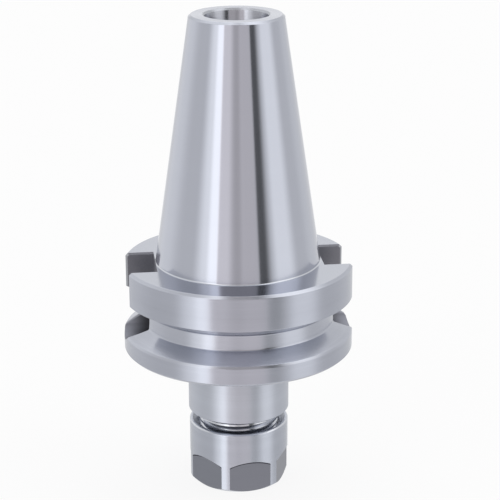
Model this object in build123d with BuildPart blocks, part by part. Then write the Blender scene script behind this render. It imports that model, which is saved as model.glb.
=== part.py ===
from build123d import *
from math import cos, radians, tan
import os

# A steep-taper tool holder with a collet chuck for small shanks.
# The origin is the centre of the gauge circle, +Z runs up the taper to the small end,
# and the chuck hangs below. Sizes are in millimetres.

# Taper shank
gauge_diameter = 44.45
taper_per_length = 7 / 24
taper_length = 65.4
small_end_chamfer = 0.6
taper_root_radius = 0.45

# Bore for the retention knob, in the small end
pilot_diameter = 17.0
pilot_depth = 7.0
pilot_chamfer = 0.5
thread_major_diameter = 16.0
thread_core_diameter = 14.0
thread_bore_depth = 40.0
drill_point_angle = 118.0
coolant_bore_diameter = 8.0

# Flange with its gripper groove
flange_drop = 2.0
flange_thickness = 25.0
flange_diameter = 63.0
flange_edge_chamfer = 0.7
groove_drop = 14.6
groove_width = 10.0
groove_depth = 5.0
groove_angle = 60.0
groove_floor_radius = 0.6
groove_edge_chamfer = 0.4

# Two drive keyways, milled down through the upper rim into the lower one
keyway_count = 2
keyway_width = 16.1
keyway_floor_distance = 22.6
keyway_length = 21.6
keyway_direction = 7.0
keyway_chamfer = 0.5

# Neck and threaded nose
neck_diameter = 28.0
neck_length = 18.5
neck_root_radius = 1.5
neck_end_chamfer = 0.5
nose_diameter = 22.0
nose_chamfer = 0.8
relief_diameter = 19.8
relief_length = 1.1
socket_mouth_diameter = 16.0
socket_mouth_chamfer = 0.25
shank_room_diameter = 11.2
shank_room_length = 16.0

# Clamping nut
nut_gap = 3.3
nut_length = 17.7
nut_diameter = 27.6
nut_top_chamfer = 0.35
nut_face_chamfer_width = 1.3
nut_face_chamfer_height = 1.0
nut_flats = 6
nut_across_flats = 25.0
nut_flat_height = 9.3
flat_cutter_radius = 11.0
nut_flat_direction = -15.2
nut_mouth_chamfer = 0.5
nut_rim_width = 0.8
thread_clearance = 0.1
ring_thickness = 1.3
ring_clearance = 0.3
ring_offset = 0.55
head_room = 0.3

# Spring collet
collet_length = 27.5
collet_diameter = 17.0
collet_cone_angle = 8.0
collet_head_length = 6.3
collet_head_diameter = 16.2
collet_face_diameter = 13.6
collet_front_angle = 30.0
collet_head_width = 1.5
collet_groove_diameter = 13.8
collet_bore_diameter = 8.0
collet_grip_length = 20.0
collet_back_diameter = 8.8
collet_recess = 0.3
collet_slits = 6
slit_width = 0.7
slit_web = 4.5
collet_groove_fillet = 0.5
collet_edge_chamfer = 0.3
seat_clearance = 0.08

# Heights, worked out from the gauge line down
flange_top = -flange_drop
flange_bottom = flange_top - flange_thickness
groove_centre = flange_top - groove_drop
groove_top = groove_centre + groove_width / 2
groove_bottom = groove_centre - groove_width / 2
flank_drop = groove_depth * tan(radians(groove_angle / 2))
neck_end = flange_bottom - neck_length
nut_top = neck_end - nut_gap
nut_face = nut_top - nut_length
collet_face = nut_face + collet_recess
collet_shoulder = collet_face + collet_head_length

# Radii
gauge_radius = gauge_diameter / 2
small_end_radius = gauge_radius - taper_length * taper_per_length / 2
root_radius = gauge_radius + flange_drop * taper_per_length / 2
flange_radius = flange_diameter / 2
floor_radius = flange_radius - groove_depth
neck_radius = neck_diameter / 2
nose_radius = nose_diameter / 2
nut_radius = nut_diameter / 2
collet_radius = collet_diameter / 2
mouth_radius = socket_mouth_diameter / 2
room_radius = shank_room_diameter / 2
coolant_radius = coolant_bore_diameter / 2
core_radius = thread_core_diameter / 2

# The collet's cone seats in the socket with the seat clearance all round,
# which gives the height of the nose's end face
cone_slope = tan(radians(collet_cone_angle))
seat_gap = seat_clearance / cos(radians(collet_cone_angle))
nose_end = collet_shoulder + (collet_radius + seat_gap - mouth_radius) / cone_slope
socket_top = nose_end + (mouth_radius - room_radius) / cone_slope
drill_slope = tan(radians(drill_point_angle / 2))

# Where the keyways are milled
keyway_angles = [keyway_direction + 360 * k / keyway_count for k in range(keyway_count)]
keyway_planes = [
    Plane.YZ.rotated((0, 0, a)).offset(keyway_floor_distance) for a in keyway_angles
]
keyway_radius = keyway_width / 2
keyway_end = flange_top - keyway_length
keyway_end_centre = keyway_end + keyway_radius


# The corner of a profile that lies nearest to a radius and a height
def near(shapes, r, z):
    return shapes.vertices().sort_by_distance((r, z, 0))[0]


# The edges of the keyways' walls on the upper rim, down to the groove's flank.
# A chamfer on them runs on round the groove's floor and down the lower flank.
def upper_keyway_edges(body):
    found = []
    for plane in keyway_planes:
        for edge in body.edges():
            middle = plane.to_local_coords(edge.center())
            in_width = abs(middle.X) < keyway_radius + keyway_chamfer
            in_rim = middle.Z > keyway_chamfer and middle.Y > groove_top - flank_drop
            if in_width and in_rim:
                found.append(edge)
    return found


# Holder body: one bar, turned outside, bored through, milled and ground
with BuildPart() as holder_body:
    with BuildSketch(Plane.XZ) as outside:
        with BuildLine():
            Polyline(
                (0, taper_length),
                (small_end_radius, taper_length),
                (root_radius, flange_top),
                (flange_radius, flange_top),
                (flange_radius, groove_top),
                (floor_radius, groove_top - flank_drop),
                (floor_radius, groove_bottom + flank_drop),
                (flange_radius, groove_bottom),
                (flange_radius, flange_bottom),
                (neck_radius, flange_bottom),
                (neck_radius, neck_end),
                (relief_diameter / 2, neck_end),
                (relief_diameter / 2, neck_end - relief_length),
                (nose_radius, neck_end - relief_length),
                (nose_radius, nose_end),
                (0, nose_end),
                close=True,
            )
        make_face()
        chamfer(near(outside, small_end_radius, taper_length), small_end_chamfer)
        fillet(near(outside, root_radius, flange_top), taper_root_radius)
        chamfer(near(outside, flange_radius, flange_top), flange_edge_chamfer)
        fillet(near(outside, floor_radius, groove_top - flank_drop), groove_floor_radius)
        fillet(near(outside, floor_radius, groove_bottom + flank_drop), groove_floor_radius)
        chamfer(near(outside, flange_radius, groove_bottom), groove_edge_chamfer)
        chamfer(near(outside, flange_radius, flange_bottom), flange_edge_chamfer)
        fillet(near(outside, neck_radius, flange_bottom), neck_root_radius)
        chamfer(near(outside, neck_radius, neck_end), neck_end_chamfer)
        chamfer(near(outside, nose_radius, nose_end), nose_chamfer)
    revolve(axis=Axis.Z)

    with BuildSketch(Plane.XZ):
        with BuildLine():
            pilot_floor = taper_length - pilot_depth
            thread_lead = (thread_major_diameter - thread_core_diameter) / 2
            drill_shoulder = taper_length - thread_bore_depth
            room_top = socket_top + shank_room_length
            Polyline(
                (0, taper_length),
                (pilot_diameter / 2 + pilot_chamfer, taper_length),
                (pilot_diameter / 2, taper_length - pilot_chamfer),
                (pilot_diameter / 2, pilot_floor),
                (core_radius + thread_lead, pilot_floor),
                (core_radius, pilot_floor - thread_lead),
                (core_radius, drill_shoulder),
                (coolant_radius, drill_shoulder - (core_radius - coolant_radius) / drill_slope),
                (coolant_radius, room_top + (room_radius - coolant_radius) / drill_slope),
                (room_radius, room_top),
                (room_radius, socket_top),
                (mouth_radius, nose_end),
                (0, nose_end),
                close=True,
            )
        make_face()
    revolve(axis=Axis.Z, mode=Mode.SUBTRACT)
    mouth_edge = holder_body.edges().filter_by(GeomType.CIRCLE)
    mouth_edge = mouth_edge.filter_by(lambda e: abs(e.center().Z - nose_end) < socket_mouth_chamfer)
    chamfer(mouth_edge.sort_by(SortBy.RADIUS)[0], socket_mouth_chamfer)

    with BuildSketch(*keyway_planes):
        with Locations((0, keyway_end_centre)):
            Circle(keyway_radius)
            Rectangle(keyway_width, -keyway_end_centre, align=(Align.CENTER, Align.MIN))
    extrude(amount=flange_radius, mode=Mode.SUBTRACT)

    chamfer(upper_keyway_edges(holder_body), keyway_chamfer)


# Clamping nut: turned from bar, six flats milled on its lower end
with BuildPart() as clamping_nut:
    cone_gap = seat_clearance / cos(radians(collet_front_angle))
    front_slope = tan(radians(collet_front_angle))
    face_radius = collet_face_diameter / 2
    head_radius = collet_head_diameter / 2
    head_low = collet_face + (head_radius - face_radius) / front_slope
    groove_low = head_low + collet_head_width
    ring_low = groove_low + ring_clearance
    ring_top = ring_low + ring_thickness
    head_room_radius = head_radius + head_room
    head_room_low = collet_face + (head_room_radius - face_radius - cone_gap) / front_slope
    thread_bore_radius = nose_radius + thread_clearance
    thread_bore_low = nose_end - nose_chamfer
    collet_room_radius = collet_radius + head_room
    exit_radius = face_radius + cone_gap - collet_recess * front_slope
    with BuildSketch(Plane.XZ) as nut_section:
        with BuildLine():
            Polyline(
                (exit_radius, nut_face),
                (nut_radius - nut_face_chamfer_width, nut_face),
                (nut_radius, nut_face + nut_face_chamfer_height),
                (nut_radius, nut_top),
                (thread_bore_radius, nut_top),
                (thread_bore_radius, thread_bore_low),
                (collet_room_radius, thread_bore_low),
                (collet_room_radius, ring_top),
                (head_radius - ring_offset, ring_top),
                (head_radius - ring_offset, ring_low),
                (head_room_radius, ring_low),
                (head_room_radius, head_room_low),
                close=True,
            )
        make_face()
        chamfer(near(nut_section, exit_radius, nut_face), nut_mouth_chamfer)
        chamfer(near(nut_section, nut_radius, nut_top), nut_top_chamfer)
        thread_lead_in = nut_radius - nut_rim_width - thread_bore_radius
        chamfer(near(nut_section, thread_bore_radius, nut_top), thread_lead_in)
    revolve(axis=Axis.Z)

    # The extraction ring is bored off centre, so that the collet snaps in past it when tilted
    with BuildSketch(Plane.XY.offset(ring_low)):
        with Locations((ring_offset, 0)):
            Circle(head_radius)
    extrude(amount=ring_thickness, mode=Mode.SUBTRACT)

    nut_flat_distance = nut_across_flats / 2
    flat_planes = [
        Plane.YZ.rotated((0, 0, nut_flat_direction + 360 * k / nut_flats)).offset(nut_flat_distance)
        for k in range(nut_flats)
    ]
    with BuildSketch(*flat_planes):
        with Locations((0, nut_face + nut_flat_height - flat_cutter_radius)):
            Circle(flat_cutter_radius)
            Rectangle(2 * flat_cutter_radius, nut_length, align=(Align.CENTER, Align.MAX))
    extrude(amount=nut_radius, mode=Mode.SUBTRACT)


# Spring collet: hardened, slit from both ends in turn
with BuildPart() as collet:
    groove_radius = collet_groove_diameter / 2
    back_radius = collet_back_diameter / 2
    bore_radius = collet_bore_diameter / 2
    collet_back = collet_face + collet_length
    small_radius = collet_radius - (collet_back - collet_shoulder) * cone_slope
    grip_end = collet_face + collet_grip_length
    with BuildSketch(Plane.XZ) as collet_section:
        with BuildLine():
            Polyline(
                (bore_radius, collet_face),
                (face_radius, collet_face),
                (head_radius, head_low),
                (head_radius, groove_low),
                (groove_radius, groove_low),
                (groove_radius, collet_shoulder),
                (collet_radius, collet_shoulder),
                (small_radius, collet_back),
                (back_radius, collet_back),
                (back_radius, grip_end),
                (bore_radius, grip_end),
                close=True,
            )
        make_face()
        fillet(near(collet_section, groove_radius, groove_low), collet_groove_fillet)
        fillet(near(collet_section, groove_radius, collet_shoulder), collet_groove_fillet)
        chamfer(near(collet_section, collet_radius, collet_shoulder), collet_edge_chamfer)
        chamfer(near(collet_section, small_radius, collet_back), collet_edge_chamfer)
        chamfer(near(collet_section, bore_radius, collet_face), collet_edge_chamfer)
    revolve(axis=Axis.Z)

    slit_step = 360 / collet_slits
    with BuildSketch(Plane.XY.offset(collet_face)):
        with PolarLocations(0, collet_slits):
            Rectangle(collet_radius, slit_width, align=(Align.MIN, Align.CENTER))
    extrude(amount=collet_length - slit_web, mode=Mode.SUBTRACT)
    with BuildSketch(Plane.XY.offset(collet_back)):
        with PolarLocations(0, collet_slits, start_angle=slit_step / 2):
            Rectangle(collet_radius, slit_width, align=(Align.MIN, Align.CENTER))
    extrude(amount=slit_web + collet_head_length - collet_length, mode=Mode.SUBTRACT)


os.makedirs("parts", exist_ok=True)
for name, piece in (
    ("holder_body", holder_body),
    ("clamping_nut", clamping_nut),
    ("collet", collet),
):
    piece.part.label = name
    export_step(piece.part, f"parts/{name}.step")
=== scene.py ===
from math import cos, degrees, pi, radians, sin, sqrt, tan

import bmesh
import bpy
import numpy as np
from mathutils import Euler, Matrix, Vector


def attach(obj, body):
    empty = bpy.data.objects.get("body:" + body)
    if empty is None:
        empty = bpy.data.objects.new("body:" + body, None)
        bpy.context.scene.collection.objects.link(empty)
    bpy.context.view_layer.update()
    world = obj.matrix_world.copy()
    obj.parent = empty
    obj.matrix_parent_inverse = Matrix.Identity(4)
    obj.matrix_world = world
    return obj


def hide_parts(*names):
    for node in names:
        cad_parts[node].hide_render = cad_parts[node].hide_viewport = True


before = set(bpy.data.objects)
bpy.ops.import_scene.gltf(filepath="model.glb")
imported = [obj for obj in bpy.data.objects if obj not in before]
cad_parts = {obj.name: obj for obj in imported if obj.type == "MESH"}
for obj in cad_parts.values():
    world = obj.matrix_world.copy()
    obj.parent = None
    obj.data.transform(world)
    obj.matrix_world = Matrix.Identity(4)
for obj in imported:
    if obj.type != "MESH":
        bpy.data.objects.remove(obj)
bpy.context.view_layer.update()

millimetre = 0.001
micrometre = 1e-6
tiny = 1e-6  # in millimetres, too short to tell two points apart


# Mesh tools

# Arcs up to the small radius get the wide step in degrees, and the others the fine one
arcs = {"smallRadius": 0.3, "wideStep": 20.0, "fineStep": 9.0, "share": 0.25}


# A path through corners (r, z, radius): each corner with a radius becomes an arc, and each
# straight stretch gets a guard point near its ends and one every few millimetres. The third
# column is the place, which counts the corners: an arc spans its share to each side of its own.
def roundedPath(corners, guard=0.12, longest=5.0):
    points = np.array([corner[:2] for corner in corners], float)
    radii = [corner[2] if len(corner) > 2 else 0.0 for corner in corners]
    pieces = []
    for i, point in enumerate(points):
        if i in (0, len(points) - 1) or radii[i] == 0:
            pieces.append(np.array([[point[0], point[1], i]]))
            continue
        back = points[i - 1] - point
        ahead = points[i + 1] - point
        back = back / np.hypot(*back)
        ahead = ahead / np.hypot(*ahead)
        turn = pi - np.arccos(np.clip(back @ ahead, -1, 1))
        middle = (back + ahead) / np.hypot(*(back + ahead))
        centre = point + middle * radii[i] / cos(turn / 2)
        x, y = point + back * radii[i] * tan(turn / 2) - centre
        side = np.sign(back[0] * ahead[1] - back[1] * ahead[0])
        step = arcs["fineStep"] if radii[i] > arcs["smallRadius"] else arcs["wideStep"]
        share = np.linspace(0, 1, max(2, int(np.ceil(degrees(turn) / step))) + 1)
        c, s = np.cos(-side * turn * share), np.sin(-side * turn * share)
        place = i + (share * 2 - 1) * arcs["share"]
        pieces.append(np.stack([centre[0] + x * c - y * s, centre[1] + x * s + y * c, place], 1))
    path = [pieces[0]]
    for piece in pieces[1:]:
        start, end = path[-1][-1], piece[0]
        length = np.hypot(*(end - start)[:2])
        if length > 3 * guard:
            inner = np.linspace(guard, length - guard, max(2, int(np.ceil(length / longest)) + 1))
            path.append(start + (end - start) * (inner / length)[:, None])
        path.append(piece)
    path = np.concatenate(path)
    keep = np.r_[True, np.hypot(*np.diff(path[:, :2], axis=0).T) > tiny]
    return path[keep]


# Adds points to a path where it crosses the given values of r (axis 0) or z (axis 1)
def crossings(path, axis, values):
    along = np.r_[0, np.cumsum(np.hypot(*np.diff(path[:, :2], axis=0).T))]
    found = [along]
    for value in values:
        a, b = path[:-1, axis] - value, path[1:, axis] - value
        at = np.flatnonzero(a * b < 0)
        found.append(along[at] + (along[at + 1] - along[at]) * a[at] / (a[at] - b[at]))
    at = np.unique(np.round(np.concatenate(found), 9))
    at = at[np.r_[True, np.diff(at) > tiny]]
    return np.stack([np.interp(at, along, column) for column in path.T], 1)


# Corners moved into the material, which lies to the right of the path, by one distance.
# An outward corner's radius shrinks by it and an inward corner's grows.
def insetCorners(corners, distance):
    points = np.array([corner[:2] for corner in corners], float)
    step = np.diff(points, axis=0)
    step /= np.hypot(*step.T)[:, None]
    inward = np.stack([step[:, 1], -step[:, 0]], 1)
    before, after = np.r_[inward[:1], inward], np.r_[inward, inward[-1:]]
    mitre = (before + after) / (1 + np.sum(before * after, 1))[:, None]
    turn = np.r_[0, step[:-1, 0] * step[1:, 1] - step[:-1, 1] * step[1:, 0], 0]
    radii = np.array([corner[2] if len(corner) > 2 else 0.0 for corner in corners])
    radii = np.where(radii == 0, 0, np.maximum(radii + np.sign(turn) * distance, 0.001))
    return np.column_stack([points + mitre * distance, radii]).tolist()


# Four-sided faces of a grid of rows by columns
def gridFaces(rows, columns):
    index = np.arange(rows * columns).reshape(rows, columns)
    corners = [index[:-1, :-1], index[1:, :-1], index[1:, 1:], index[:-1, 1:]]
    return np.stack(corners, -1).reshape(-1, 4)


# Points of a surface of revolution: radius times the cosine and sine of the azimuth
def turned(radius, height, azimuth):
    radius, height, azimuth = np.broadcast_arrays(radius, height, azimuth)
    return np.stack([radius * np.cos(azimuth), radius * np.sin(azimuth), height], -1)


# Collects grids and flat faces, in millimetres, and joins them into one closed piece
class Piece:
    def __init__(self, name):
        self.name = name
        self.points = []
        self.faces = []
        self.slots = []
        self.count = 0

    def add(self, points, faces, slot):
        self.points.append(points.reshape(-1, 3))
        self.faces += (np.asarray(faces) + self.count).tolist()
        self.slots += np.broadcast_to(slot, len(faces)).tolist()
        self.count += self.points[-1].shape[0]

    # The slot is one material's number, or a table of them, rows of faces by columns
    def grid(self, points, slot):
        rows, columns = points.shape[:2]
        slots = np.broadcast_to(slot, (rows - 1, columns - 1)).ravel()
        self.add(points, gridFaces(rows, columns), slots)

    def face(self, points, slot):
        self.add(np.asarray(points), [np.arange(len(points))], slot)

    # Points nearer than the weld, in metres, become one, and edges over the sharp angle stay crisp
    def build(self, materials, sharpAngle=28.0, weld=2e-7):
        mesh = bpy.data.meshes.new(self.name)
        mesh.from_pydata((np.concatenate(self.points) * millimetre).tolist(), [], self.faces)
        mesh.polygons.foreach_set("material_index", self.slots)
        bm = bmesh.new()
        bm.from_mesh(mesh)
        bmesh.ops.remove_doubles(bm, verts=bm.verts, dist=weld)
        bmesh.ops.dissolve_degenerate(bm, dist=weld, edges=bm.edges)
        bmesh.ops.recalc_face_normals(bm, faces=bm.faces)
        bm.to_mesh(mesh)
        bm.free()
        for material in materials:
            mesh.materials.append(material)
        mesh.shade_smooth()
        mesh.set_sharp_from_angle(angle=radians(sharpAngle))
        piece = bpy.data.objects.new(self.name, mesh)
        bpy.context.scene.collection.objects.link(piece)
        return piece


# Shader tools


# One socket with arithmetic, so that shader maths is written as expressions
class Wire:
    def __init__(self, paint, socket):
        self.paint = paint
        self.socket = socket

    def maths(self, operation, *values):
        return self.paint.node("ShaderNodeMath", {"operation": operation}, dict(enumerate(values)))

    def __add__(self, other):
        return self.maths("ADD", self, other)

    def __sub__(self, other):
        return self.maths("SUBTRACT", self, other)

    def __rsub__(self, other):
        return self.maths("SUBTRACT", other, self)

    def __mul__(self, other):
        return self.maths("MULTIPLY", self, other)

    def __pow__(self, other):
        return self.maths("POWER", self, other)

    # Another output of the same node
    def also(self, output):
        return Wire(self.paint, self.socket.node.outputs[output])

    __radd__ = __add__
    __rmul__ = __mul__


# Adds nodes to one material or world
class Paint:
    def __init__(self, tree):
        self.tree = tree
        tree.nodes.clear()

    def node(self, kind, settings=None, inputs=None, output=0):
        made = self.tree.nodes.new(kind)
        for key, value in (settings or {}).items():
            setattr(made, key, value)
        for key, value in (inputs or {}).items():
            socket = made.inputs[key]
            if isinstance(value, Wire):
                self.tree.links.new(value.socket, socket)
            else:
                socket.default_value = value
        return Wire(self, made.outputs[output]) if made.outputs else made


# Threads


# Radius of a 60-degree thread where it stands a share of a turn below its crest's middle.
# The crest is a narrow cone that leans back by its fall, as a worn crest does.
def threadRadius(share, thread):
    half = thread["crestFlat"] / 2
    share = (share + 0.5) % 1 - 0.5
    depth = np.maximum(np.abs(share) - half, 0) * thread["pitch"] / tan(radians(30))
    fall = thread["crestFall"] * np.clip((half - share) / (2 * half), 0, 1)
    return np.maximum(thread["crest"] - depth - fall, thread["root"])


# Rows that follow the thread's helix, each at its height plus the azimuth's share of the pitch,
# cut off at the two end heights. The gap moves the whole profile outwards, so that it runs free
# of its mate, and the radius stays between the least and the most.
def threadGrid(thread, top, low, azimuth, limit=None):
    pitch = thread["pitch"]
    flank = (thread["crest"] - thread["root"]) * tan(radians(30)) / pitch
    half = thread["crestFlat"] / 2
    breaks = np.array([-half, half, half + flank, 1 - half - flank])
    turns = np.arange(-2, int((top - low) / pitch) + 3)
    share = (turns[:, None] + breaks).ravel()
    rise = pitch * azimuth / (2 * pi)
    height = np.clip(thread["crestHeight"] - pitch * share[:, None] + rise, low, top)
    phase = (thread["crestHeight"] + rise - height) / pitch
    radius = threadRadius(phase, thread) + thread["gap"]
    radius = np.clip(radius, thread["least"], thread["most"])
    if limit:
        radius = limit(radius, height)
    return turned(radius, height, azimuth)


# Holder body

# Sizes in millimetres, heights from the gauge line
holder = {
    "gaugeRadius": 22.225, "taperLength": 65.4, "taperSlope": 7 / 48, "endChamfer": 0.6,
    "rootRadius": 0.3, "flangeTop": -2.0, "flangeLow": -27.0, "flangeRadius": 31.5,
    "flangeChamfer": 0.7, "grooveTop": -11.6, "grooveLow": -21.6, "floorRadius": 26.5,
    "flankDrop": 5 * tan(radians(30)), "floorFillet": 0.6, "grooveChamfer": 0.4,
    "neckRadius": 14.0, "neckLow": -45.5, "neckFillet": 1.5, "neckChamfer": 0.3,
    "reliefRadius": 9.9, "reliefLow": -46.6, "noseLow": -55.767, "threadStart": 10.45,
    "threadLead": 1.7, "threadEnd": 1.2, "edgeRound": 0.08, "columns": 240,
}
keyway = {
    "direction": 7.0, "halfWidth": 8.05, "floor": 22.6, "lowCentre": -15.55,
    "chamfer": 0.5, "runOutChamfer": 0.12, "low": -23.72, "floorRows": 9, "archRows": 17,
}
bore = {
    "pilotRadius": 8.5, "pilotChamfer": 0.5, "pilotFloor": 58.4, "threadLow": 27.4,
    "drillLow": 25.4, "coolantRadius": 4.0, "roomRadius": 5.6, "roomTop": -22.691,
    "socketTop": -38.691, "mouthRadius": 8.0, "mouthChamfer": 0.25, "drillHalfAngle": 59.0,
}
noseThread = {
    "pitch": 1.5, "crest": 11.0, "root": 10.2, "crestFlat": 0.32, "crestFall": 0.09,
    "crestHeight": -46.8, "gap": 0.0, "least": 10.2, "most": 11.0,
}
knobThread = {
    "pitch": 2.0, "crest": 8.0, "root": 7.0, "crestFlat": 0.125, "crestFall": 0.0,
    "crestHeight": 57.6, "gap": 0.0, "least": 7.0, "most": 8.0,
}


# Half the azimuth that a keyway takes away at a radius and height: up to its wall where the
# surface lies outside the floor's plane, and up to that plane near the taper
def keywayHalfAngle(radius, height, halfWidth):
    outside = radius > keyway["floor"] + tiny
    byFloor = np.arccos(np.clip(keyway["floor"] / radius, -1, 1))
    byWall = np.arcsin(np.clip(halfWidth / radius, -1, 1))
    return np.where(outside, np.minimum(byFloor, byWall), 0.0)


# Half width of the keyway at a height, which closes in a half circle at its low end,
# grown by the chamfer on its edges
def keywayHalfWidth(height, grow=0.0):
    reach = keyway["halfWidth"] + grow
    below = np.minimum(height - keyway["lowCentre"], 0)
    return np.sqrt(np.maximum(reach**2 - below**2, 0))


# The chamfer fades out over the lower flank, before the lower rim
def keywayChamfer(height):
    fade = np.clip((height - holder["grooveLow"]) / holder["flankDrop"], 0, 1)
    return keyway["runOutChamfer"] + (keyway["chamfer"] - keyway["runOutChamfer"]) * fade


# The outside's corners, from the edge of the small end's bore to the start of the nose thread
def holderCorners():
    h = holder
    tilt = np.arctan(h["taperSlope"])
    smallRadius = h["gaugeRadius"] - h["taperLength"] * h["taperSlope"]
    chamferDrop = h["endChamfer"] * cos(tilt)
    flankReach = h["grooveChamfer"] * cos(radians(30))
    flankRise = h["grooveChamfer"] * sin(radians(30))
    r = h["edgeRound"]
    return [
        (bore["pilotRadius"] + bore["pilotChamfer"], h["taperLength"]),
        (smallRadius - h["endChamfer"], h["taperLength"], r),
        (smallRadius + chamferDrop * h["taperSlope"], h["taperLength"] - chamferDrop, r),
        (h["gaugeRadius"] - h["flangeTop"] * h["taperSlope"], h["flangeTop"], h["rootRadius"]),
        (h["flangeRadius"] - h["flangeChamfer"], h["flangeTop"], r),
        (h["flangeRadius"], h["flangeTop"] - h["flangeChamfer"], r),
        (h["flangeRadius"], h["grooveTop"], r),
        (h["floorRadius"], h["grooveTop"] - h["flankDrop"], h["floorFillet"]),
        (h["floorRadius"], h["grooveLow"] + h["flankDrop"], h["floorFillet"]),
        (h["flangeRadius"] - flankReach, h["grooveLow"] + flankRise, r),
        (h["flangeRadius"], h["grooveLow"] - h["grooveChamfer"], r),
        (h["flangeRadius"], h["flangeLow"] + h["flangeChamfer"], r),
        (h["flangeRadius"] - h["flangeChamfer"], h["flangeLow"], r),
        (h["neckRadius"], h["flangeLow"], h["neckFillet"]),
        (h["neckRadius"], h["neckLow"] + h["neckChamfer"], r),
        (h["neckRadius"] - h["neckChamfer"], h["neckLow"], r),
        (h["reliefRadius"], h["neckLow"], r),
        (h["reliefRadius"], h["reliefLow"], r),
        (h["threadStart"], h["reliefLow"]),
    ]


# Turns points in a keyway's own frame (out, across, up) into the holder's frame
def fromKeyway(out, across, up, angle):
    x = out * cos(angle) - across * sin(angle)
    y = out * sin(angle) + across * cos(angle)
    return np.stack(np.broadcast_arrays(x, y, up), -1)


# One keyway: its floor is a plane, its walls close in a half circle below, and a chamfer runs
# from the walls to the ends of the outside's rows
def addKeyway(piece, outer, inset, grow, angle, slots):
    k = keyway
    radius, height = outer
    halfWidth = keywayHalfWidth(height, grow)
    pastFloor = radius >= np.hypot(k["floor"], halfWidth) - tiny
    walled = np.flatnonzero(pastFloor & (height > k["low"] - tiny))
    arched = np.flatnonzero((radius > k["floor"] - tiny) & (np.arange(len(radius)) <= walled[0]))
    rim = np.stack([np.sqrt(radius**2 - halfWidth**2), halfWidth, height])[:, walled]
    wallHeight = np.maximum(inset[1][walled], k["lowCentre"] - k["halfWidth"])
    wallOut = np.sqrt(inset[0][walled] ** 2 - halfWidth[walled] ** 2)
    wall = np.stack([wallOut, keywayHalfWidth(wallHeight), wallHeight])
    straight = np.flatnonzero(wallHeight >= k["lowCentre"] - tiny)
    bent = np.arange(straight[-1], len(walled))
    low, high = holder["grooveTop"], holder["flangeTop"] - k["chamfer"]
    upright = (rim[2, 1:] < high) & (rim[2, 1:] > low)
    edges = np.where(upright, slots["edge"], slots["wall"])[:, None]
    foot = np.stack([np.full(len(walled), k["floor"]), wall[1], wall[2]])
    for side in (1, -1):
        way = np.array([1, side, 1])[:, None]
        piece.grid(np.stack([fromKeyway(*(line * way), angle) for line in (rim, wall)], 1), edges)
        flat = np.concatenate([wall[:, straight], foot[:, straight[-1:]]], 1)
        piece.face(fromKeyway(*(flat * way), angle), slots["wall"])
        curve = [fromKeyway(*(line[:, bent] * way), angle) for line in (wall, foot)]
        piece.grid(np.stack(curve, 1), slots["arch"])
    archWidth = np.sqrt(radius[arched] ** 2 - k["floor"] ** 2)
    arch = np.stack([np.full(len(arched), k["floor"]), archWidth, height[arched]])
    mirror = np.array([1, -1, 1])[:, None]
    down = np.concatenate([wall[:, :1], foot[:, bent]], 1)
    edge = [down, (down * mirror)[:, -2::-1], (arch * mirror)[:, ::-1], arch[:, 1:]]
    piece.face(fromKeyway(*np.concatenate(edge, 1), angle), slots["floor"])


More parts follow.
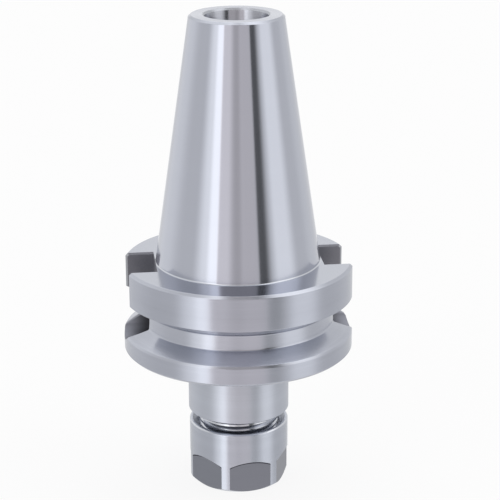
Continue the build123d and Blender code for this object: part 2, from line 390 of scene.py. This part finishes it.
# The holder: outside rows run round from one keyway to the other, and the keyways' walls,
# floors and chamfers start from those rows' ends
def makeHolder(names):
    h, k, b = holder, keyway, bore
    slot = {name: number for number, name in enumerate(names)}
    piece = Piece("holderVisual")
    half = h["columns"] // 2
    turn = radians(k["direction"])
    spin = turn + np.linspace(0, 2 * pi, h["columns"] + 1)

    corners = holderCorners()
    path = roundedPath(corners)
    cornerRadius = np.hypot(k["floor"], k["halfWidth"] + k["chamfer"])
    nearFloor = k["floor"] + (cornerRadius - k["floor"]) * np.linspace(0, 1, k["floorRows"]) ** 2
    quarter = np.sin(radians(90) * np.linspace(0, 1, k["archRows"]))
    lowRows = k["lowCentre"] - (k["halfWidth"] + k["runOutChamfer"]) * quarter
    split = np.flatnonzero(path[:, 1] < h["flangeTop"] - h["flangeChamfer"] / 2)[0]
    outer = np.r_[crossings(path[:split], 0, nearFloor), crossings(path[split:], 1, lowRows)]
    radius, height, place = outer.T
    grow = keywayChamfer(height)
    inFlange = (height > k["low"]) & (radius > k["floor"])
    take = np.where(inFlange, keywayHalfAngle(radius, height, keywayHalfWidth(height, grow)), 0)
    across = np.linspace(0, 1, half + 1)
    slots = np.full(len(height) - 1, slot["turnedSteel"])
    shoulder, root = 2, 3  # the places of the taper's small end and of its root
    finished = {
        "groundTaper": (place > shoulder - arcs["share"] - tiny) & (place < root + arcs["share"]),
        # the root fillet's brighter colour is a painted highlight
        "rootFillet": np.abs(place - root) < arcs["share"] + tiny,
        "turnedFace": (np.abs(height - h["flangeTop"]) < tiny) & (place > root),
        "turnedRim": np.abs(radius - h["flangeRadius"]) < tiny,
        "turnedNeck": (height < h["flangeLow"] - h["neckFillet"]) & (height > h["neckLow"] - tiny),
    }
    for name, rows in finished.items():
        slots[rows[1:] & rows[:-1]] = slot[name]
    for side in (0, 1):
        azimuth = turn + side * pi + take[:, None] + (pi - 2 * take[:, None]) * across
        piece.grid(turned(radius[:, None], height[:, None], azimuth), slots[:, None])

    insetPath = roundedPath(insetCorners(corners, k["chamfer"])).T
    share = grow / k["chamfer"]
    inset = [np.interp(place, insetPath[2], column) for column in insetPath[:2]]
    inset = [start + (end - start) * share for start, end in zip((radius, height), inset)]
    for side in (0, 1):
        addKeyway(piece, (radius, height), inset, grow, turn + side * pi, {
            "wall": slot["milledKeyway"], "floor": slot["milledKeyway"],
            "edge": slot["keywayChamfer"], "arch": slot["milledArch"],
        })

    # The nose thread starts on a cone at the relief and ends in the nose's chamfer
    def noseEnds(radius, height):
        start = h["threadStart"] + (h["reliefLow"] - height) * h["threadLead"]
        end = noseThread["root"] + (height - h["noseLow"]) * h["threadEnd"]
        return np.minimum(radius, np.minimum(start, end))

    # The knob thread is opened by a 45-degree cone at the top, and closes on one below
    def knobEnds(radius, height):
        start = knobThread["crest"] - (b["pilotFloor"] - height)
        end = knobThread["root"] + (height - b["threadLow"])
        return np.minimum(np.maximum(radius, start), np.maximum(end, knobThread["root"]))

    noseRows = threadGrid(noseThread, h["reliefLow"], h["noseLow"], spin, noseEnds)
    piece.grid(noseRows, slot["cutThread"])
    knobRows = threadGrid(knobThread, b["pilotFloor"], b["threadLow"], spin, knobEnds)
    piece.grid(knobRows, slot["boredSteel"])

    slope = tan(radians(b["drillHalfAngle"]))
    pilot = [
        (b["pilotRadius"] + b["pilotChamfer"], h["taperLength"]),
        (b["pilotRadius"], h["taperLength"] - b["pilotChamfer"]),
        (b["pilotRadius"], b["pilotFloor"]),
        (knobThread["crest"], b["pilotFloor"]),
    ]
    mouthSlope = (b["mouthRadius"] - b["roomRadius"]) / (b["socketTop"] - h["noseLow"])
    passage = [
        (knobThread["root"], b["threadLow"]),
        (knobThread["root"], b["drillLow"]),
        (b["coolantRadius"], b["drillLow"] - (knobThread["root"] - b["coolantRadius"]) / slope),
        (b["coolantRadius"], b["roomTop"] + (b["roomRadius"] - b["coolantRadius"]) / slope),
        (b["roomRadius"], b["roomTop"]),
        (b["roomRadius"], b["socketTop"]),
        (b["mouthRadius"] - b["mouthChamfer"] * mouthSlope, h["noseLow"] + b["mouthChamfer"]),
        (b["mouthRadius"] + b["mouthChamfer"], h["noseLow"]),
        (noseThread["root"], h["noseLow"]),
    ]
    for line in (pilot, passage):
        radius, height = roundedPath(line, longest=8).T[:2]
        wall = np.abs(radius - b["pilotRadius"]) < tiny
        slots = np.where(wall[1:] & wall[:-1], slot["boredPilot"], slot["boredSteel"])
        piece.grid(turned(radius[:, None], height[:, None], spin), slots[:, None])
    return piece.build([finish[name] for name in names])


# Clamping nut

# The band of painted shade under each flat's ledge reaches a fixed width plus a share of the
# ledge's depth below the cutter's arc.
nut = {
    "top": -48.8, "face": -66.5, "radius": 13.8, "topChamfer": 0.35, "faceRadius": 12.5,
    "faceRise": 1.0, "flatDistance": 12.5, "flatHeight": 9.3, "cutterRadius": 11.0,
    "flatDirection": -15.2, "threadLead": 1.9, "threadLow": -56.567, "roomRadius": 8.8,
    "ringTop": -60.848, "ringLow": -62.148, "ringRadius": 8.1, "ringOffset": 0.55,
    "headRoom": 8.4, "headRoomLow": -63.589, "exitRadius": 6.719, "exitAngle": 30.0,
    "exitChamfer": 0.5, "edgeRound": 0.08, "ledgeShadeWidth": 0.3, "ledgeShadeShare": 0.49,
    "threadEnd": 1.2, "wallFoot": 3.0, "flatColumns": 33, "cornerColumns": 7, "flatRows": 5,
}
nutThread = dict(noseThread, gap=0.1, least=10.19, most=11.1)


# The nut: columns stand at even steps across each flat and between the flats. A flat's lower
# edge is where it cuts the face chamfer, and its upper edge is the round cutter's arc.
def makeNut(names):
    n = nut
    slot = {name: number for number, name in enumerate(names)}
    piece = Piece("nutVisual")
    reach = sqrt(n["radius"] ** 2 - n["flatDistance"] ** 2)
    across = np.linspace(-reach, reach, n["flatColumns"])
    onFlat = np.arctan2(across, n["flatDistance"])
    between = np.linspace(onFlat[-1], radians(60) - onFlat[-1], n["cornerColumns"])[1:-1]
    sector = np.r_[onFlat, between]
    azimuth = (radians(n["flatDirection"]) + radians(60) * np.arange(6)[:, None] + sector).ravel()
    spin = np.r_[azimuth, azimuth[0] + 2 * pi]

    flatRadius = np.minimum(n["flatDistance"] / np.cos(sector), n["radius"])
    arcCentre = n["face"] + n["flatHeight"] - n["cutterRadius"]
    inner = np.clip(n["flatDistance"] * np.tan(sector), -reach, reach)
    outer = np.clip(n["radius"] * np.sin(sector), -reach, reach)
    arcInner = arcCentre + np.sqrt(n["cutterRadius"] ** 2 - inner**2)
    arcOuter = arcCentre + np.sqrt(n["cutterRadius"] ** 2 - outer**2)
    faceSlope = n["faceRise"] / (n["radius"] - n["faceRadius"])
    flatLow = n["face"] + np.maximum(flatRadius - n["faceRadius"], 0) * faceSlope
    ledge = np.sqrt(n["radius"] ** 2 - inner**2) - n["flatDistance"]
    # Where the painted shade under the ledge starts, below the flat's arc
    ledgeShadeLow = arcInner - n["ledgeShadeWidth"] - ledge * n["ledgeShadeShare"]
    share = np.linspace(0, 1, n["flatRows"])[1:, None]
    rim = roundedPath([
        (n["radius"], n["top"] - n["topChamfer"] - n["wallFoot"]),
        (n["radius"], n["top"] - n["topChamfer"], n["edgeRound"]),
        (n["radius"] - n["topChamfer"], n["top"], n["edgeRound"]),
        (nutThread["most"] + n["threadLead"], n["top"]),
    ])
    exitRise = n["exitChamfer"] * cos(radians(n["exitAngle"]))
    exitStep = n["exitChamfer"] * sin(radians(n["exitAngle"]))
    one = np.ones_like(sector)
    exitEdge = n["exitRadius"] + n["exitChamfer"]
    radius = np.concatenate([
        [exitEdge * one, np.minimum(flatRadius, n["faceRadius"]), flatRadius],
        np.repeat(flatRadius[None], len(share) + 1, 0),
        [n["radius"] * one],
        rim[:, :1] * one,
    ])
    height = np.concatenate([
        [n["face"] * one, n["face"] * one, flatLow],
        flatLow + (ledgeShadeLow - flatLow) * share,
        [arcInner, arcOuter],
        rim[:, 1:2] * one,
    ])
    wrap = np.r_[np.tile(np.arange(len(sector)), 6), 0]
    slots = np.full((len(radius) - 1, len(spin) - 1), slot["turnedNut"])
    milled = np.flatnonzero(wrap[:-1] < len(onFlat) - 1)
    flatRow = 2  # the first row of faces on a flat, above the face and its chamfer
    ledgeShadeRow = flatRow + len(share)
    slots[flatRow:ledgeShadeRow, milled] = slot["nutFlats"]
    # The flat's top strip and the ledge above it are painted near-black: painted shade under the
    # ledge
    slots[ledgeShadeRow:ledgeShadeRow + 2, milled] = slot["paintedLedgeShade"]
    # The top chamfer's brighter colour is a painted highlight
    high = height[:, 0] > n["top"] - n["topChamfer"] - n["edgeRound"]
    wide = radius[:, 0] > n["radius"] - n["topChamfer"] - n["edgeRound"]
    slots[high[1:] & high[:-1] & wide[1:]] = slot["rimChamfer"]
    piece.grid(turned(radius[:, wrap], height[:, wrap], spin), slots)

    # The nut's thread opens in a wide 45-degree mouth and runs out above the room
    def ends(radius, height):
        start = nutThread["most"] + n["threadLead"] - (n["top"] - height)
        end = nutThread["least"] + (height - n["threadLow"]) * n["threadEnd"]
        return np.maximum(np.minimum(radius, np.maximum(end, nutThread["least"])), start)

    threadRows = threadGrid(nutThread, n["top"], n["threadLow"], spin, ends)
    piece.grid(threadRows, slot["nutMouth"])

    aside = n["ringOffset"] * np.sin(spin)
    ring = n["ringOffset"] * np.cos(spin) + np.sqrt(n["ringRadius"] ** 2 - aside**2)
    ring = np.maximum(ring, n["ringRadius"] - n["ringOffset"])
    one = np.ones_like(spin)
    inside = [
        (nutThread["least"] * one, n["threadLow"]),
        (n["roomRadius"] * one, n["threadLow"]),
        (n["roomRadius"] * one, n["ringTop"]),
        (ring, n["ringTop"]),
        (ring, n["ringLow"]),
        (n["headRoom"] * one, n["ringLow"]),
        (n["headRoom"] * one, n["headRoomLow"]),
        ((n["exitRadius"] + exitStep) * one, n["face"] + exitRise),
        (exitEdge * one, n["face"]),
    ]
    radius = np.stack([row[0] for row in inside])
    height = np.array([row[1] for row in inside])[:, None]
    piece.grid(turned(radius, height, spin), slot["boredSteel"])
    return piece.build([finish[name] for name in names], sharpAngle=18)


# Finishes

# Colours are linear. Rings are the lathe's or grinder's marks: their spacing in millimetres
# and depth in micrometres. Vary and shade are how far the pattern moves the gloss and the
# colour, and stretch is how far the marks draw out a highlight across them. Oil is a thin film,
# the recess setting paints shade, dark deep in a recess and lighter out to its edge, between two
# radii, and lean turns a bore's facets upwards.
finishes = {
    "groundTaper": {"colour": (0.54, 0.56, 0.63), "roughness": 0.14, "vary": 0.04, "stretch": 0.75,
                    "spacing": 0.35, "depth": 0.6, "shade": 0.03},
    "turnedSteel": {"colour": (0.52, 0.54, 0.605), "roughness": 0.24, "vary": 0.08, "stretch": 0.7,
                    "spacing": 0.7, "depth": 2.5, "shade": 0.14},
    "turnedRim": {"colour": (0.475, 0.495, 0.56), "roughness": 0.24, "vary": 0.08, "stretch": 0.7,
                  "spacing": 0.7, "depth": 2.5, "shade": 0.14},
    "turnedNut": {"colour": (0.49, 0.515, 0.58), "roughness": 0.26, "vary": 0.08, "stretch": 0.7,
                  "spacing": 0.7, "depth": 2.5, "shade": 0.14},
    "turnedNeck": {"colour": (0.535, 0.56, 0.625), "roughness": 0.36, "vary": 0.08, "stretch": 0.6,
                   "spacing": 0.6, "depth": 2.5, "shade": 0.14},
    # Brighter than the taper: a painted highlight along the root fillet, which is also smoother and
    # unstretched
    "rootFillet": {"colour": (0.64, 0.66, 0.71), "roughness": 0.12, "vary": 0.03, "stretch": 0.0,
                   "spacing": 0.35, "depth": 0.3, "shade": 0.02},
    # Brighter than the nut's cylinder: a painted highlight along the top chamfer, which is also
    # smoother and unstretched
    "rimChamfer": {"colour": (0.66, 0.68, 0.73), "roughness": 0.2, "vary": 0.05, "stretch": 0.0,
                   "spacing": 0.35, "depth": 0.5, "shade": 0.04},
    "turnedFace": {"colour": (0.48, 0.50, 0.56), "roughness": 0.15, "vary": 0.04, "stretch": 0.3,
                   "spacing": 0.7, "depth": 0.8, "shade": 0.06},
    "milledKeyway": {"colour": (0.265, 0.27, 0.305), "roughness": 0.45, "vary": 0.12,
                     "stretch": 0.0, "spacing": 0.5, "depth": 4.0, "shade": 0.3, "oil": 0.5},
    # The keyway's arch: painted shade darkens it deep inside, and a painted lighter edge brightens
    # it towards the rim
    "milledArch": {"colour": (0.2, 0.205, 0.235), "roughness": 0.45, "vary": 0.12, "stretch": 0.0,
                   "spacing": 0.5, "depth": 4.0, "shade": 0.2, "recessShade": (25.0, 31.5, 0.25, 1.25)},
    "keywayChamfer": {"colour": (0.42, 0.43, 0.46), "roughness": 0.35, "vary": 0.1,
                      "stretch": 0.0, "spacing": 0.5, "depth": 3.0, "shade": 0.1},
    "cutThread": {"colour": (0.66, 0.68, 0.73), "roughness": 0.15, "vary": 0.06, "stretch": 0.4,
                  "spacing": 0.25, "depth": 2.0, "shade": 0.08},
    "boredSteel": {"colour": (0.60, 0.62, 0.67), "roughness": 0.4, "vary": 0.08, "stretch": 1.0,
                   "spacing": 0.25, "depth": 12.0, "shade": 0.14},
    "boredPilot": {"colour": (0.43, 0.44, 0.485), "roughness": 0.16, "vary": 0.06, "stretch": 0.8,
                   "spacing": 0.6, "depth": 20.0, "shade": 0.3, "lean": 0.25},
    "nutFlats": {"colour": (0.255, 0.265, 0.305), "roughness": 0.34, "vary": 0.1, "stretch": 0.0,
                 "spacing": 0.4, "depth": 3.0, "shade": 0.1, "oil": 0.1},
    # Near-black colour: painted shade under the nut's ledges
    "paintedLedgeShade": {"colour": (0.06, 0.06, 0.075), "roughness": 0.4, "vary": 0.1, "stretch": 0.0,
                    "spacing": 0.4, "depth": 3.0, "shade": 0.1},
    "nutMouth": {"colour": (0.46, 0.48, 0.53), "roughness": 0.32, "vary": 0.08, "stretch": 0.4,
                 "spacing": 0.25, "depth": 2.0, "shade": 0.08},
    "colletSteel": {"colour": (0.45, 0.46, 0.50), "roughness": 0.28, "vary": 0.08, "stretch": 0.5,
                    "spacing": 0.3, "depth": 1.5, "shade": 0.08},
}

# What all the steel shares: spacings in millimetres, each pattern's share of the tone, gloss and
# height, and the quarter turn that draws a highlight out across the rings
pattern = {
    "bandSpread": 9, "patchSpacing": 14.0, "grainSpacing": 0.12,
    "rings": 0.8, "bands": 0.7, "patches": 0.6, "grain": 0.4,
    "glossRings": 0.7, "glossPatches": 0.9, "heightRings": 0.8, "heightGrain": 0.2,
    "oilRoughness": 0.28, "alongRings": 0.25,
}


# Steel with rings by radius and height, broad hazy patches in its gloss, and fine grain
def steel(name):
    look, p = finishes[name], pattern
    material = bpy.data.materials.new(name)
    material.use_nodes = True
    paint = Paint(material.node_tree)
    place = paint.node("ShaderNodeTexCoord", output="Object")
    x = paint.node("ShaderNodeSeparateXYZ", None, {"Vector": place})
    y, z = x.also("Y"), x.also("Z")
    radius = (x * x + y * y) ** 0.5
    profile = paint.node("ShaderNodeCombineXYZ", None, {"X": radius, "Y": 0.0, "Z": z})

    def noise(where, spacing, detail):
        inputs = {"Vector": where, "Scale": 1 / (spacing * millimetre), "Detail": detail}
        return paint.node("ShaderNodeTexNoise", None, inputs)

    rings = noise(profile, look["spacing"], 3.0)
    bands = noise(profile, look["spacing"] * p["bandSpread"], 2.0)
    patches = noise(place, p["patchSpacing"], 3.0)
    grain = noise(place, p["grainSpacing"], 2.0)
    # noise averages a half, so that each pattern lightens as much as it darkens
    tone = (rings - 0.5) * p["rings"] + (bands - 0.5) * p["bands"]
    tone = tone + (patches - 0.5) * p["patches"] + (grain - 0.5) * p["grain"]
    shade = tone * look["shade"] + 1
    # Painted shade by radius: dark deep in the recess, and lighter towards its outer edge
    if "recessShade" in look:
        inner, outer, dark, light = look["recessShade"]
        shade = shade * paint.node("ShaderNodeMapRange", {"interpolation_type": "SMOOTHSTEP"}, {
            "Value": radius, "From Min": inner * millimetre, "From Max": outer * millimetre,
            "To Min": dark, "To Max": light,
        })
    scaled = {0: look["colour"], "Scale": shade}
    colour = paint.node("ShaderNodeVectorMath", {"operation": "SCALE"}, scaled)
    haze = (rings - 0.5) * p["glossRings"] + (patches - 0.5) * p["glossPatches"]
    gloss = look["roughness"] + look["vary"] * haze
    height = rings * p["heightRings"] + grain * p["heightGrain"]
    marks = {"Strength": 1.0, "Distance": look["depth"] * micrometre, "Height": height}
    if "lean" in look:
        towards = {"X": 0 - x, "Y": 0 - y, "Z": radius * look["lean"]}
        facing = paint.node("ShaderNodeCombineXYZ", None, towards)
        facing = paint.node("ShaderNodeVectorMath", {"operation": "NORMALIZE"}, {0: facing})
        marks["Normal"] = facing
    bump = paint.node("ShaderNodeBump", None, marks)
    surface = paint.node("ShaderNodeBsdfPrincipled", None, {
        "Base Color": colour, "Metallic": 1.0, "Roughness": gloss, "Normal": bump,
        "Anisotropic": look["stretch"], "Anisotropic Rotation": p["alongRings"],
        "Coat Weight": look.get("oil", 0.0), "Coat Roughness": p["oilRoughness"],
    })
    paint.node("ShaderNodeOutputMaterial", None, {"Surface": surface})
    return material


print("finishes")
finish = {name: steel(name) for name in finishes}

print("holder")
holderPiece = makeHolder([
    "groundTaper", "rootFillet", "turnedFace", "turnedSteel", "turnedRim", "turnedNeck",
    "milledKeyway", "keywayChamfer", "milledArch", "cutThread", "boredSteel", "boredPilot",
])
print("nut")
nutPiece = makeNut(["turnedNut", "rimChamfer", "nutFlats", "paintedLedgeShade", "nutMouth", "boredSteel"])
print("collet")
colletPiece = bpy.data.objects["collet"]
for slot in colletPiece.material_slots:
    slot.material = finish["colletSteel"]

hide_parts("holder_body")
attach(holderPiece, "holder")
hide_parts("clamping_nut")
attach(nutPiece, "nut")


# Studio

# Lengths in millimetres, angles in degrees. The top light leans back by its tilt.
studio = {
    "floorHeight": -66.5, "floorRadius": 4000.0, "floorSides": 64,
    "floorColour": (0.82, 0.82, 0.825), "floorLift": 0.88,
    "topLevel": 1.6, "topTilt": 26.0, "topInner": 22.0, "topOuter": 36.0,
    "lowFrom": -26.0, "lowTo": -14.0, "lowSoft": 5.0, "aboveFrom": 20.0, "aboveTo": 36.0,
    "roomLevel": 0.73, "frontWarmth": 0.05, "frontHalf": 29.0, "frontSoft": 2.0, "edgeSoft": 0.01,
}
# Panels around the object, by azimuth: from, to, how soft each edge is, the brightness, and
# whether it stands above the floor's glow, is whole, lies low or hangs above the camera.
# 0 is towards the camera and 90 is to its right.
panels = {
    "whiteWallRight": (165, 190, 40, 0, 1.04, "whole"),
    "whiteWallLeft": (-190, -165, 0, 40, 1.04, "whole"),
    "leftWall": (-150, -101, 30, 34, 0.93, "high"),
    "rightWall": (116, 165, 20, 24, 0.81, "high"),
    "leftSoftbox": (-57, -26, 20, 4, 1.2, "whole"),
    "leftStrip": (-42, -28, 8, 3, 1.62, "whole"),
    "nearLeft": (-28, -7, 2, 18, 0.93, "high"),
    "camera": (-8, 6, 14, 10, 0.56, "high"),
    "nearRight": (8, 30, 10, 3, 0.69, "high"),
    "frontAbove": (-26, 46, 10, 10, 0.45, "above"),
    "blackFlag": (30, 44.5, 3, 11, 0.13, "high"),
    "rightSoftbox": (53, 85, 12, 20, 1.12, "whole"),
    "rightAbove": (60, 105, 16, 24, 1.5, "above"),
    "frontFloor": (-18, 58, 12, 14, 0.93, "low"),
}


# The world: each panel takes the room's level to its own brightness between its azimuths, the
# light above comes last, and the camera itself sees plain white
def makeWorld():
    world = bpy.data.worlds.new("studioLight")
    bpy.context.scene.world = world
    world.use_nodes = True
    paint = Paint(world.node_tree)
    way = paint.node("ShaderNodeTexCoord", output="Generated")
    x = paint.node("ShaderNodeSeparateXYZ", None, {"Vector": way})
    y, z = x.also("Y"), x.also("Z")
    azimuth = x.maths("ARCTAN2", x, 0 - y) * degrees(1)
    elevation = z.maths("ARCSINE", z) * degrees(1)

    # 0 up to the low value, 1 from the high one, and smooth between them
    def step(value, low, high):
        inputs = {"Value": value, "From Min": low, "From Max": high}
        return paint.node("ShaderNodeMapRange", {"interpolation_type": "SMOOTHSTEP"}, inputs)

    reaches = {
        "high": step(elevation, studio["lowFrom"], studio["lowTo"]),
        "low": 1 - step(elevation, studio["lowFrom"], studio["lowFrom"] + studio["lowSoft"]),
        "above": step(elevation, studio["aboveFrom"], studio["aboveTo"]),
        "whole": 1.0,
    }
    level = studio["roomLevel"]
    for start, end, softStart, softEnd, brightness, reach in panels.values():
        mask = step(azimuth, start - softStart / 2, start + softStart / 2 + studio["edgeSoft"])
        past = step(azimuth, end - softEnd / 2, end + softEnd / 2 + studio["edgeSoft"])
        mask = mask * (1 - past) * reaches[reach]
        level = level + mask * (brightness - level)
    tilt = radians(studio["topTilt"])
    fromTop = x.maths("ARCCOSINE", y * sin(tilt) + z * cos(tilt)) * degrees(1)
    top = 1 - step(fromTop, studio["topInner"], studio["topOuter"])
    level = level + top * (studio["topLevel"] - level)
    camera = paint.node("ShaderNodeLightPath", output="Is Camera Ray")
    level = level + camera * (1 - level)
    away = azimuth.maths("ABSOLUTE", azimuth)
    frontFrom = studio["frontHalf"] - studio["frontSoft"]
    frontTo = studio["frontHalf"] + studio["frontSoft"]
    front = (1 - step(away, frontFrom, frontTo)) * (1 - camera)
    tint = paint.node("ShaderNodeCombineColor", None, {
        "Red": 1 + studio["frontWarmth"] * front, "Green": 1.0, "Blue": 1.0,
    })
    shine = paint.node("ShaderNodeBackground", None, {"Color": tint, "Strength": level})
    paint.node("ShaderNodeOutputWorld", None, {"Surface": shine})


# The floor: a pale disc, lifted most of the way to white for the camera alone
def makeFloor():
    material = bpy.data.materials.new("paleFloor")
    material.use_nodes = True
    paint = Paint(material.node_tree)
    surface = paint.node("ShaderNodeBsdfPrincipled", None, {
        "Base Color": (*studio["floorColour"], 1.0), "Roughness": 0.9, "Specular IOR Level": 0.0,
    })
    camera = paint.node("ShaderNodeLightPath", output="Is Camera Ray")
    white = paint.node("ShaderNodeEmission", None, {"Color": (1.0, 1.0, 1.0, 1.0), "Strength": 1.0})
    surface = paint.node("ShaderNodeMixShader", None, {
        0: camera * studio["floorLift"], 1: surface, 2: white,
    })
    paint.node("ShaderNodeOutputMaterial", None, {"Surface": surface})
    floor = Piece("floor")
    azimuth = np.linspace(0, 2 * pi, studio["floorSides"] + 1)[:-1]
    floor.face(turned(studio["floorRadius"], studio["floorHeight"], azimuth), 0)
    made = floor.build([material])
    made.visible_glossy = False


# The photograph's view: distance, target and sensor in millimetres, elevation and roll in
# radians, focal length and image in pixels, and the clipping distances in metres
view = {
    "distance": 464.04, "elevation": 0.321345, "roll": -0.00323, "target": (3.334, 0, 0.342),
    "focalPixels": 1697.3, "imagePixels": 500, "sensor": 36.0, "clipStart": 0.01, "clipEnd": 20.0,
}


# The camera stands back from the target along its elevation, and turns by its roll
def makeCamera():
    data = bpy.data.cameras.new("photoView")
    data.sensor_width = view["sensor"]
    data.lens = view["focalPixels"] * view["sensor"] / view["imagePixels"]
    data.clip_start = view["clipStart"]
    data.clip_end = view["clipEnd"]
    camera = bpy.data.objects.new("photoView", data)
    bpy.context.scene.collection.objects.link(camera)
    tilt = Euler((pi / 2 - view["elevation"], 0, 0)).to_matrix()
    rotation = tilt @ Euler((0, 0, view["roll"])).to_matrix()
    back = Vector((0, -cos(view["elevation"]), sin(view["elevation"]))) * view["distance"]
    camera.location = (Vector(view["target"]) + back) * millimetre
    camera.rotation_euler = rotation.to_euler()
    bpy.context.scene.camera = camera


print("studio")
makeWorld()
makeFloor()
makeCamera()
bpy.context.scene.view_settings.view_transform = "Standard"
